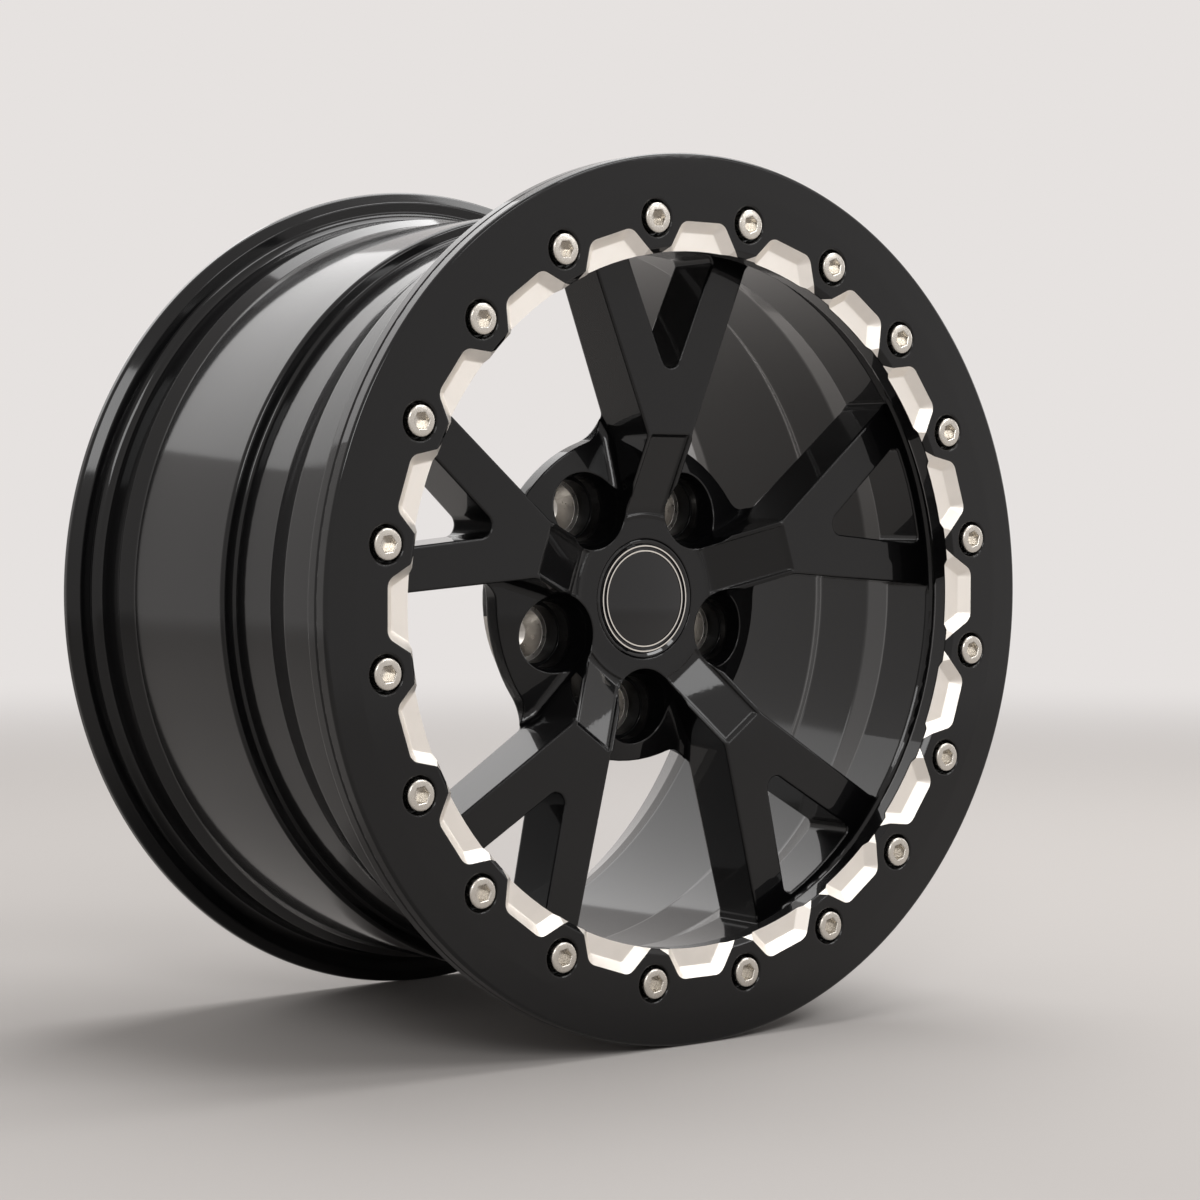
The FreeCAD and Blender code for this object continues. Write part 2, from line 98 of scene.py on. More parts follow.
def add_node(tree: bpy.types.NodeTree, kind: str, inputs: dict | None = None, **settings) -> bpy.types.Node:
    """Add a node with its settings and links.

    Args:
        tree: the node tree that gets the node.
        kind: the node's type name.
        inputs: socket name or number to an output socket, which is linked, or to a value, which is set.
        settings: the node's own properties.

    Returns:
        The new node.
    """
    node = tree.nodes.new(kind)
    for name, value in settings.items():
        setattr(node, name, value)
    for key, value in (inputs or {}).items():
        if isinstance(value, bpy.types.NodeSocket):
            tree.links.new(value, node.inputs[key])
        else:
            node.inputs[key].default_value = value
    return node


def new_material(name: str) -> tuple[bpy.types.Material, bpy.types.NodeTree, bpy.types.NodeSocket]:
    """Start an empty node material.

    Args:
        name: the material's name.

    Returns:
        The material, its tree and the surface socket of its output.
    """
    material = bpy.data.materials.new(name)
    material.use_nodes = True
    tree = material.node_tree
    tree.nodes.clear()
    output = add_node(tree, "ShaderNodeOutputMaterial")
    return material, tree, output.inputs["Surface"]


@dataclass(frozen=True)
class GlossPaint:
    """Black powder coat under clear lacquer: a deep mirror, faintly waved where the coat has flowed."""

    name: str
    colour: str = "#070708"
    coat: float = 1.0
    coat_roughness: float = 0.02
    peel_mm: float = 3.2          # width of the lacquer's waves
    peel_depth_mm: float = 0.0025
    lathe_mm: float = 0.0         # spacing of the turning marks that show through the paint
    lathe_depth_mm: float = 0.0
    edge_mm: float = 1.4          # round that the paint gives to sharp edges
    edge_samples: int = 8
    haze_mm: float = 60.0         # width of the clouds in the pigment's gloss
    haze: tuple[float, float] = (0.28, 0.42)
    pigment_ior: float = 1.5
    pigment_gloss: float = 0.05   # the pigment lies under the lacquer and hardly shines itself
    coat_ior: float = 1.38

    def build(self) -> bpy.types.Material:
        """Make the material.

        Returns:
            The material.
        """
        material, tree, surface = new_material(self.name)
        place = add_node(tree, "ShaderNodeTexCoord").outputs["Object"]
        peel = add_node(tree, "ShaderNodeTexNoise", {
            "Vector": place, "Scale": 1 / (self.peel_mm * MM), "Detail": 1.0})
        waves = add_node(tree, "ShaderNodeBump", {
            "Height": peel.outputs["Fac"], "Distance": self.peel_depth_mm * MM})
        normal = waves.outputs["Normal"]
        if self.edge_mm:
            edges = add_node(tree, "ShaderNodeBevel", {"Radius": self.edge_mm * MM}, samples=self.edge_samples)
            tree.links.new(edges.outputs["Normal"], waves.inputs["Normal"])
        if self.lathe_mm:
            marks = add_node(tree, "ShaderNodeTexWave", {
                "Vector": place, "Scale": WAVE_PERIOD / (self.lathe_mm * MM), "Distortion": 0.6,
                "Detail": 2.0}, wave_type="BANDS", bands_direction="Y")
            normal = add_node(tree, "ShaderNodeBump", {
                "Height": marks.outputs["Fac"], "Distance": self.lathe_depth_mm * MM,
                "Normal": normal}).outputs["Normal"]
        cloud = add_node(tree, "ShaderNodeTexNoise", {
            "Vector": place, "Scale": 1 / (self.haze_mm * MM), "Detail": 3.0})
        haze = add_node(tree, "ShaderNodeMapRange", {
            "Value": cloud.outputs["Fac"], "To Min": self.haze[0], "To Max": self.haze[1]})
        shader = add_node(tree, "ShaderNodeBsdfPrincipled", {
            "Base Color": linear(self.colour), "Roughness": haze.outputs["Result"],
            "IOR": self.pigment_ior, "Specular IOR Level": self.pigment_gloss,
            "Coat Weight": self.coat, "Coat Roughness": self.coat_roughness, "Coat IOR": self.coat_ior,
            "Normal": normal, "Coat Normal": normal})
        tree.links.new(shader.outputs["BSDF"], surface)
        return material


@dataclass(frozen=True)
class MilledAluminium:
    """Bare end-milled aluminium: bright satin metal with fine cutter arcs that spread its highlights."""

    name: str
    colour: str = "#EEE9E2"
    roughness: tuple[float, float] = (0.4, 0.54)
    cutter_mm: float = 0.9        # step between cutter arcs, drawn coarser than it is so that it shows
    cutter_depth_mm: float = 0.006
    patch_mm: float = 7.0         # width of duller and brighter patches

    def build(self) -> bpy.types.Material:
        """Make the material.

        Returns:
            The material.
        """
        material, tree, surface = new_material(self.name)
        place = add_node(tree, "ShaderNodeTexCoord").outputs["Object"]
        arcs = add_node(tree, "ShaderNodeTexWave", {
            "Vector": place, "Scale": WAVE_PERIOD / (self.cutter_mm * MM), "Distortion": 1.2, "Detail": 3.0,
            "Detail Scale": 2.0}, wave_type="RINGS", rings_direction="Y")
        normal = add_node(tree, "ShaderNodeBump", {
            "Height": arcs.outputs["Fac"], "Distance": self.cutter_depth_mm * MM}).outputs["Normal"]
        cloud = add_node(tree, "ShaderNodeTexNoise", {
            "Vector": place, "Scale": 1 / (self.patch_mm * MM), "Detail": 4.0})
        rough = add_node(tree, "ShaderNodeMapRange", {
            "Value": cloud.outputs["Fac"], "From Min": 0.3, "From Max": 0.7,
            "To Min": self.roughness[0], "To Max": self.roughness[1]})
        shader = add_node(tree, "ShaderNodeBsdfPrincipled", {
            "Base Color": linear(self.colour), "Metallic": 1.0, "Roughness": rough.outputs["Result"],
            "Normal": normal})
        tree.links.new(shader.outputs["BSDF"], surface)
        return material


def from_nearest_axis(tree: bpy.types.NodeTree, count: int, circle_mm: float,
                      first_deg: float) -> bpy.types.NodeSocket:
    """Distance from the nearest of several axes that stand on a circle about the wheel axis.

    Args:
        tree: the node tree.
        count: the number of axes, evenly spaced.
        circle_mm: the radius of their circle.
        first_deg: the angle from the upper spoke to the first axis.

    Returns:
        A vector socket with the place seen from that axis, in metres: sideways, along the axis, outwards.
    """
    step = 2 * math.pi / count
    place = add_node(tree, "ShaderNodeTexCoord").outputs["Object"]
    parts = add_node(tree, "ShaderNodeSeparateXYZ", {"Vector": place})
    x, y, z = (parts.outputs[n] for n in "XYZ")
    flat = add_node(tree, "ShaderNodeCombineXYZ", {"X": x, "Z": z})
    radius = add_node(tree, "ShaderNodeVectorMath", {
        0: flat.outputs["Vector"]}, operation="LENGTH").outputs["Value"]
    angle = add_node(tree, "ShaderNodeMath", {0: x, 1: z}, operation="ARCTAN2").outputs["Value"]
    moved = add_node(tree, "ShaderNodeMath", {
        0: angle, 1: step / 2 - math.radians(first_deg)}, operation="ADD").outputs["Value"]
    folded = add_node(tree, "ShaderNodeMath", {
        0: moved, 1: step}, operation="FLOORED_MODULO").outputs["Value"]
    local = add_node(tree, "ShaderNodeMath", {0: folded, 1: step / 2}, operation="SUBTRACT").outputs["Value"]
    sine = add_node(tree, "ShaderNodeMath", {0: local}, operation="SINE").outputs["Value"]
    cosine = add_node(tree, "ShaderNodeMath", {0: local}, operation="COSINE").outputs["Value"]
    side = add_node(tree, "ShaderNodeMath", {0: radius, 1: sine}, operation="MULTIPLY").outputs["Value"]
    reach = add_node(tree, "ShaderNodeMath", {0: radius, 1: cosine}, operation="MULTIPLY").outputs["Value"]
    out = add_node(tree, "ShaderNodeMath", {
        0: reach, 1: circle_mm * MM}, operation="SUBTRACT").outputs["Value"]
    return add_node(tree, "ShaderNodeCombineXYZ", {"X": side, "Y": y, "Z": out}).outputs["Vector"]


@dataclass(frozen=True)
class TurnedMetal:
    """Bare metal faced on a lathe: rings about each piece's own axis draw its highlight out into a fan."""

    name: str
    count: int
    circle_mm: float
    first_deg: float
    colour: str = "#CBC6BE"
    roughness: tuple[float, float] = (0.2, 0.32)
    ring_mm: float = 0.7          # step between turning marks, drawn coarser than it is so that it shows
    ring_depth_mm: float = 0.003
    edge_mm: float = 0.25         # broken edges
    patch_mm: float = 2.5         # width of duller and brighter patches

    def build(self) -> bpy.types.Material:
        """Make the material.

        Returns:
            The material.
        """
        material, tree, surface = new_material(self.name)
        place = from_nearest_axis(tree, self.count, self.circle_mm, self.first_deg)
        rings = add_node(tree, "ShaderNodeTexWave", {
            "Vector": place, "Scale": WAVE_PERIOD / (self.ring_mm * MM), "Distortion": 0.8, "Detail": 2.0},
            wave_type="RINGS", rings_direction="Y")
        normal = add_node(tree, "ShaderNodeBevel", {"Radius": self.edge_mm * MM}, samples=6).outputs["Normal"]
        normal = add_node(tree, "ShaderNodeBump", {
            "Height": rings.outputs["Fac"], "Distance": self.ring_depth_mm * MM,
            "Normal": normal}).outputs["Normal"]
        cloud = add_node(tree, "ShaderNodeTexNoise", {
            "Vector": place, "Scale": 1 / (self.patch_mm * MM), "Detail": 4.0})
        rough = add_node(tree, "ShaderNodeMapRange", {
            "Value": cloud.outputs["Fac"], "From Min": 0.3, "From Max": 0.7,
            "To Min": self.roughness[0], "To Max": self.roughness[1]})
        shader = add_node(tree, "ShaderNodeBsdfPrincipled", {
            "Base Color": linear(self.colour), "Metallic": 1.0, "Roughness": rough.outputs["Result"],
            "Normal": normal})
        tree.links.new(shader.outputs["BSDF"], surface)
        return material


@dataclass(frozen=True)
class MouldedPlastic:
    """Black moulded ABS, polished in the mould: a hard gloss with a soft ripple from the gate."""

    name: str
    colour: str = "#08080A"
    roughness: float = 0.05
    ripple_mm: float = 9.0
    ripple_depth_mm: float = 0.004
    edge_mm: float = 0.2          # round that the mould leaves on edges
    ior: float = 1.53
    spread: tuple[float, float] = (0.6, 1.4)  # of the roughness, from hollow to crest of the ripple

    def build(self) -> bpy.types.Material:
        """Make the material.

        Returns:
            The material.
        """
        material, tree, surface = new_material(self.name)
        place = add_node(tree, "ShaderNodeTexCoord").outputs["Object"]
        ripple = add_node(tree, "ShaderNodeTexNoise", {
            "Vector": place, "Scale": 1 / (self.ripple_mm * MM), "Detail": 1.0})
        normal = add_node(tree, "ShaderNodeBevel", {"Radius": self.edge_mm * MM}, samples=6).outputs["Normal"]
        normal = add_node(tree, "ShaderNodeBump", {
            "Height": ripple.outputs["Fac"], "Distance": self.ripple_depth_mm * MM,
            "Normal": normal}).outputs["Normal"]
        rough = add_node(tree, "ShaderNodeMapRange", {
            "Value": ripple.outputs["Fac"], "To Min": self.roughness * self.spread[0],
            "To Max": self.roughness * self.spread[1]})
        shader = add_node(tree, "ShaderNodeBsdfPrincipled", {
            "Base Color": linear(self.colour), "Roughness": rough.outputs["Result"], "IOR": self.ior,
            "Normal": normal})
        tree.links.new(shader.outputs["BSDF"], surface)
        return material


@dataclass(frozen=True)
class PolishedPlating:
    """Bright plating on the cap's raised beads: thin mirror lines with a trace of wipe marks."""

    name: str
    colour: str = "#E3DED6"
    wipe_mm: float = 3.0          # width of the wipe marks
    roughness: tuple[float, float] = (0.1, 0.24)

    def build(self) -> bpy.types.Material:
        """Make the material.

        Returns:
            The material.
        """
        material, tree, surface = new_material(self.name)
        place = add_node(tree, "ShaderNodeTexCoord").outputs["Object"]
        wipe = add_node(tree, "ShaderNodeTexNoise", {
            "Vector": place, "Scale": 1 / (self.wipe_mm * MM), "Detail": 3.0})
        rough = add_node(tree, "ShaderNodeMapRange", {
            "Value": wipe.outputs["Fac"], "To Min": self.roughness[0], "To Max": self.roughness[1]})
        shader = add_node(tree, "ShaderNodeBsdfPrincipled", {
            "Base Color": linear(self.colour), "Metallic": 1.0, "Roughness": rough.outputs["Result"]})
        tree.links.new(shader.outputs["BSDF"], surface)
        return material


Finish = GlossPaint | MilledAluminium | TurnedMetal | MouldedPlastic | PolishedPlating


def paint_faces(piece: bpy.types.Object, base: Finish, others: list[tuple[Finish, FaceTest]]) -> None:
    """Give a piece its finishes, face by face.

    Args:
        piece: the mesh object.
        base: the finish of every face that no test picks.
        others: further finishes, each with a test of a face's centre, in millimetres, and its normal.
    """
    piece.data.materials.clear()
    for finish in [base, *(pair[0] for pair in others)]:
        piece.data.materials.append(finish.build())
    for face in piece.data.polygons:
        centre = face.center / MM
        picked = [i for i, (_, test) in enumerate(others, start=1) if test(centre, face.normal)]
        face.material_index = picked[0] if picked else 0


def around(point: Vector, count: int, first_deg: float) -> tuple[float, float]:
    """Turn a point about the wheel axis to the nearest of several even directions.

    Args:
        point: the point, in millimetres.
        count: the number of directions.
        first_deg: the angle from the upper spoke to the first of them.

    Returns:
        The distance to the side of that direction and the distance along it.
    """
    step = 2 * math.pi / count
    angle = math.atan2(point.x, point.z) - math.radians(first_deg)
    local = (angle + step / 2) % step - step / 2
    radius = math.hypot(point.x, point.z)
    return radius * math.sin(local), radius * math.cos(local)


def place_mesh(mesh: bmesh.types.BMesh, name: str, node: str) -> bpy.types.Object:
    """Turn a bmesh into a piece that rides on the wheel and stands for a node of the solids.

    Args:
        mesh: the bmesh, in metres and in its place; it is freed.
        name: the piece's name.
        node: the node that the piece stands for.

    Returns:
        The new piece.
    """
    data = bpy.data.meshes.new(name)
    mesh.to_mesh(data)
    mesh.free()
    piece = bpy.data.objects.new(name, data)
    bpy.context.scene.collection.objects.link(piece)
    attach(piece, "root")
    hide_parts(node)
    return piece


def finish_mesh(mesh: bmesh.types.BMesh, name: str, node: str,
                sharp_deg: float) -> bpy.types.Object:
    """Turn a closed bmesh into a piece that stands for a node of the solids.

    Args:
        mesh: the bmesh, in metres and in its place; it is freed.
        name: the piece's name.
        node: the node that the piece stands for.
        sharp_deg: edges that turn by more than this stay sharp.

    Returns:
        The new piece, which rides on the wheel.
    """
    bmesh.ops.recalc_face_normals(mesh, faces=mesh.faces)
    for face in mesh.faces:
        face.smooth = True
    for edge in mesh.edges:
        edge.smooth = edge.calc_face_angle(0.0) < math.radians(sharp_deg)
    return place_mesh(mesh, name, node)


def extrude_loop(mesh: bmesh.types.BMesh, loop: list[bmesh.types.BMEdge], rise: float,
                 scale: float = 1.0) -> list[bmesh.types.BMEdge]:
    """Extrude a closed loop of edges along Z and draw it in or out about the Z axis.

    Args:
        mesh: the bmesh.
        loop: the edges.
        rise: the way along Z.
        scale: the factor on the loop's radius.

    Returns:
        The edges of the new loop.
    """
    made = bmesh.ops.extrude_edge_only(mesh, edges=loop)["geom"]
    verts = [item for item in made if isinstance(item, bmesh.types.BMVert)]
    bmesh.ops.scale(mesh, vec=(scale, scale, 1.0), verts=verts)
    bmesh.ops.translate(mesh, vec=(0.0, 0.0, rise), verts=verts)
    fresh = set(verts)
    edges = [item for item in made if isinstance(item, bmesh.types.BMEdge)]
    return [edge for edge in edges if all(vert in fresh for vert in edge.verts)]


@dataclass(frozen=True)
class Corner:
    """A corner of a turned profile: its distance from the wheel axis, its place along it and its round."""

    radius_mm: float
    y_mm: float
    round_mm: float = 0.0

    @property
    def place(self) -> Vector:
        """The corner in the plane of the profile, in metres."""
        return Vector((self.radius_mm, self.y_mm, 0.0)) * MM


@dataclass(frozen=True)
class Zone:
    """A stretch of a node's turned surface: beyond a radius and between two planes."""

    radius_mm: float
    low_mm: float
    high_mm: float
    slack_mm: float = 0.006       # for corners that lie in one of the planes

    def holds(self, face: bmesh.types.BMFace) -> bool:
        """Whether a face lies in the zone with all its corners.

        Args:
            face: a face of a node's copy.

        Returns:
            True if it does.
        """
        if not self.low_mm < face.calc_center_median().y / MM < self.high_mm:
            return False
        low, high = self.low_mm - self.slack_mm, self.high_mm + self.slack_mm
        return all(vert.co.xz.length / MM > self.radius_mm and low < vert.co.y / MM < high
                   for vert in face.verts)


@dataclass(frozen=True)
class TurnedSkin:
    """A turned surface, spun with even steps in place of a node's uneven triangles.

    Its corners repeat the node's own profile. The first and the last one stop just short of the zones' ends,
    which leaves a narrow seam to bridge.
    """

    corners: tuple[Corner, ...]
    zones: tuple[Zone, ...]
    steps: int = 288
    arc_deg: float = 6.0          # step along a round
    seam_mm: float = 0.6          # the edges that are joined lie this near to an end of the profile

    def draw(self, mesh: bmesh.types.BMesh) -> None:
        """Draw the profile: an arc for each round and straight lines between them.

        Args:
            mesh: the bmesh that gets the profile, in its plane of X and Y.
        """
        last = None
        for i, corner in enumerate(self.corners):
            start = corner.place
            if corner.round_mm:
                come = (corner.place - self.corners[i - 1].place).normalized()
                leave = (self.corners[i + 1].place - corner.place).normalized()
                turn, radius = come.angle(leave), corner.round_mm * MM
                side = math.copysign(1.0, come.cross(leave).z)
                start = corner.place - come * (radius * math.tan(turn / 2))
                centre = start + Vector((-come.y, come.x, 0.0)) * (side * radius)
            head = tail = mesh.verts.new(start)
            if corner.round_mm:
                steps = max(2, math.ceil(math.degrees(turn) / self.arc_deg))
                arc = bmesh.ops.spin(mesh, geom=[head], cent=centre, axis=(0.0, 0.0, 1.0), angle=side * turn,
                                     steps=steps)
                tail = next(item for item in arc["geom_last"] if isinstance(item, bmesh.types.BMVert))
            if last:
                mesh.edges.new((last, head))
            last = tail

    def spin(self) -> bpy.types.Mesh:
        """Turn the profile about the wheel axis, with its faces outwards.

        Returns:
            The spun surface, open at its two ends.
        """
        mesh = bmesh.new()
        self.draw(mesh)
        bmesh.ops.spin(mesh, geom=[*mesh.verts, *mesh.edges], cent=(0.0, 0.0, 0.0), axis=(0.0, 1.0, 0.0),
                       angle=2 * math.pi, steps=self.steps, use_merge=True)
        bmesh.ops.remove_doubles(mesh, verts=mesh.verts, dist=WELD)
        bmesh.ops.recalc_face_normals(mesh, faces=mesh.faces)
        rim = max(mesh.faces, key=lambda face: face.calc_center_median().xz.length)
        if rim.normal.xz.dot(rim.calc_center_median().xz) < 0:
            bmesh.ops.reverse_faces(mesh, faces=mesh.faces)
        skin = bpy.data.meshes.new("skin")
        mesh.to_mesh(skin)
        mesh.free()
        return skin

    def put_on(self, mesh: bmesh.types.BMesh) -> None:
        """Take the zones' faces off a copy of a node and join the spun surface to what is left.

        Args:
            mesh: the copy, with its doubles merged.
        """
        worn = [face for face in mesh.faces if any(zone.holds(face) for zone in self.zones)]
        bmesh.ops.delete(mesh, geom=worn, context="FACES")
        skin = self.spin()
        mesh.from_mesh(skin)
        bpy.data.meshes.remove(skin)
        for end in (self.corners[0], self.corners[-1]):
            seam = [edge for edge in mesh.edges if edge.is_boundary and self.is_near(edge, end)]
            bmesh.ops.bridge_loops(mesh, edges=seam)

    def is_near(self, edge: bmesh.types.BMEdge, end: Corner) -> bool:
        """Whether both points of an edge lie near the circle of an end of the profile."""
        spots = [Vector((vert.co.xz.length, vert.co.y, 0.0)) for vert in edge.verts]
        return all((spot - end.place).length < self.seam_mm * MM for spot in spots)


def soft_normal(loop: bmesh.types.BMLoop) -> Vector:
    """Mean normal of the faces that meet softly at a corner of a face, weighted by their area.

    Args:
        loop: the corner.

    Returns:
        The normal.
    """
    faces = [near for near in loop.vert.link_faces if near.normal.angle(loop.face.normal, 0.0) < SOFT_ANGLE]
    return sum((near.normal * near.calc_area() for near in faces), Vector()).normalized()


def respin(source: bpy.types.Object, name: str,
           skins: tuple[TurnedSkin, ...]) -> bpy.types.Object:
    """Copy a node and give the copy even turned surfaces, with the node's own normals on all other faces.

    Args:
        source: the node's object, which is left as it is.
        name: the new piece's name.
        skins: the turned surfaces.

    Returns:
        The new piece, which stands for the node.
    """
    mesh = bmesh.new()
    mesh.from_mesh(source.data)
    kept = mesh.loops.layers.float_vector.new("kept_normal")
    normals = source.data.corner_normals
    for face, polygon in zip(mesh.faces, source.data.polygons):
        for loop, i in zip(face.loops, polygon.loop_indices):
            loop[kept] = normals[i].vector
    bmesh.ops.remove_doubles(mesh, verts=mesh.verts, dist=WELD)
    for skin in skins:
        skin.put_on(mesh)
    mesh.normal_update()
    corner_normals = []
    for face in mesh.faces:
        face.smooth = True
        for loop in face.loops:
            normal = Vector(loop[kept])
            corner_normals.append(normal if normal.length > EMPTY_NORMAL else soft_normal(loop))
    for edge in mesh.edges:
        edge.smooth = True
    mesh.loops.layers.float_vector.remove(kept)
    piece = place_mesh(mesh, name, source.name)
    piece.data.normals_split_custom_set(corner_normals)
    return piece


@dataclass
class ForgedWheel:
    """The one-piece wheel: gloss black, with bare turned metal in its lug seats."""

    node: str = "forged_wheel"
    lug_count: int = 5
    lug_circle_mm: float = 60.0
    lug_first_deg: float = 36.0
    lug_seat_mm: float = 16.2     # bare metal lies within this distance of a lug axis
    lug_bare_y_mm: float = -51.5  # and behind this plane
    lug_back_turn: float = 0.5    # faces that look further back than this are the hub's back
    lug_wall_mm: float = 17.0     # the wall ahead of it is dry paint, within this distance
    lug_wall_y_mm: float = -61.2  # and behind this plane
    barrel_inner_mm: float = 192.0
    front_skin: TurnedSkin = TurnedSkin((
        Corner(235.6, -123.275),        # front flange
        Corner(235.6, -115.625, 2.5),   # its tyre side
        Corner(218.3, -115.625, 6.5),   # bead seat
        Corner(216.55, -95.625),        # end of the bead seat
        Corner(217.95, -92.625, 1.0),   # hump
        Corner(213.5, -83.625, 4.0),    # shelf
        Corner(213.5, -60.175, 4.0),    # ramp down to the well
        Corner(206.0, -34.775, 3.0),    # well
        Corner(206.0, -34.26),          # seam in the well
    ), (Zone(230.0, -123.475, -115.6), Zone(216.0, -115.63, -92.0), Zone(213.49, -100.0, -60.0),
        Zone(205.99, -62.0, -34.19)))
    rear_skin: TurnedSkin = TurnedSkin((
        Corner(206.0, -2.08),           # seam in the well
        Corner(206.0, 0.025, 2.3),      # step up from the well
        Corner(213.5, 1.025, 2.5),      # shelf
        Corner(213.5, 93.675, 4.0),     # end of the shelf
        Corner(217.95, 102.675, 1.0),   # hump
        Corner(216.55, 105.675),        # bead seat
        Corner(218.3, 125.675, 6.5),    # end of the bead seat
        Corner(229.6, 125.675, 2.5),    # flange
        Corner(235.6, 129.175, 2.5),    # curl of its edge
        Corner(235.6, 134.975, 2.5),    # rear edge
        Corner(229.0, 134.975, 2.5),    # inside of the edge
        Corner(223.0, 132.275, 6.0),    # back of the flange
        Corner(210.55, 105.675, 12.0),  # under the bead seat
        Corner(207.5, 93.675, 12.0),    # inside of the barrel
        Corner(207.5, 6.025, 6.0),      # step inside the barrel
        Corner(200.0, -5.975, 5.4),     # inside of the well
        Corner(200.0, -7.61),           # seam inside the well
    ), (Zone(199.99, -7.7, 140.0),))

    def is_lug_seat(self, centre: Vector, normal: Vector) -> bool:
        """Whether a face belongs to the bare seat of a lug.

        Args:
            centre: the face's centre, in millimetres.
            normal: the face's normal.

        Returns:
            True if it does.
        """
        side, reach = around(centre, self.lug_count, self.lug_first_deg)
        near = math.hypot(side, reach - self.lug_circle_mm) < self.lug_seat_mm
        return near and centre.y > self.lug_bare_y_mm and normal.y < self.lug_back_turn

    def is_lug_wall(self, centre: Vector, normal: Vector) -> bool:
        """Whether a face belongs to the wall between a lug's mouth and its bare seat.

        Args:
            centre: the face's centre, in millimetres.
            normal: the face's normal; not used.

        Returns:
            True if it does.
        """
        side, reach = around(centre, self.lug_count, self.lug_first_deg)
        near = math.hypot(side, reach - self.lug_circle_mm) < self.lug_wall_mm
        return near and self.lug_wall_y_mm < centre.y <= self.lug_bare_y_mm

    def is_barrel(self, centre: Vector, normal: Vector) -> bool:
        """Whether a face belongs to the turned barrel."""
        return math.hypot(centre.x, centre.z) > self.barrel_inner_mm

    def dress(self, nodes: dict[str, bpy.types.Object]) -> list[bpy.types.Object]:
        """Spin the barrel anew and give the wheel its finishes.

        Args:
            nodes: the solids' objects by name.

        Returns:
            The pieces.
        """
        piece = respin(nodes[self.node], "lacquered_wheel", (self.front_skin, self.rear_skin))
        paint_faces(piece, GlossPaint("spoke_lacquer"), [
            (TurnedMetal("lug_seat_aluminium", self.lug_count, self.lug_circle_mm, self.lug_first_deg,
                         colour="#CFCBC5", roughness=(0.26, 0.4)), self.is_lug_seat),
            (GlossPaint("lug_wall_dry_paint", coat=0.0, edge_mm=0.0), self.is_lug_wall),
            (GlossPaint("barrel_lacquer", coat_roughness=0.07, lathe_mm=1.4, lathe_depth_mm=0.0012,
                        edge_mm=0.0), self.is_barrel),
        ])
        return [piece]


@dataclass
class RimRing:
    """The ring on the front of the rim: gloss black, with bare milled pockets."""

    node: str = "rim_ring"
    pocket_count: int = 20
    pocket_outer_mm: float = 199.6
    pocket_half_mm: float = 14.0
    pocket_flare_deg: float = 30.0
    pocket_depth_mm: float = 5.15
    pocket_turn: float = -0.2     # a pocket's faces look further forward than this
    flat_mm: float = 217.5        # the ring's face is flat up to here
    slack_mm: float = 0.1
    edge_skin: TurnedSkin = TurnedSkin((
        Corner(218.2, -133.2193),       # seam where the face starts to fall away
        Corner(235.6, -132.725, 2.0),   # outer edge
        Corner(235.6, -125.575),        # seam near the back
    ), (Zone(217.99, -133.22, -125.37),))
    face_y_mm: float = field(init=False)

    def __post_init__(self) -> None:
        """Find the plane of the ring's face."""
        self.face_y_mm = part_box(self.node)[0].y / MM

    def is_pocket(self, centre: Vector, normal: Vector) -> bool:
        """Whether a face belongs to the floor or a wall of a pocket.

        Args:
            centre: the face's centre, in millimetres.
            normal: the face's normal.

        Returns:
            True if it does.
        """
        depth = centre.y - self.face_y_mm
        below_face = self.slack_mm / 4 < depth < self.pocket_depth_mm + self.slack_mm
        if not below_face or normal.y > self.pocket_turn:
            return False
        side, reach = around(centre, self.pocket_count, 0.0)
        flare = math.tan(math.radians(self.pocket_flare_deg))
        half = self.pocket_half_mm + (self.pocket_outer_mm - reach) * flare
        return abs(side) < half + self.slack_mm and reach < self.pocket_outer_mm + self.slack_mm

    def is_outer(self, centre: Vector, normal: Vector) -> bool:
        """Whether a face belongs to the turned outer part of the ring."""
        return math.hypot(centre.x, centre.z) > self.flat_mm

    def dress(self, nodes: dict[str, bpy.types.Object]) -> list[bpy.types.Object]:
        """Spin the ring's edge anew and give the ring its finishes.

        Args:
            nodes: the solids' objects by name.

        Returns:
            The pieces.
        """
        piece = respin(nodes[self.node], "lacquered_ring", (self.edge_skin,))
        paint_faces(piece, GlossPaint("ring_lacquer"), [
            (MilledAluminium("pocket_aluminium"), self.is_pocket),
            (GlossPaint("ring_edge_lacquer", edge_mm=0.0), self.is_outer),
        ])
        return [piece]


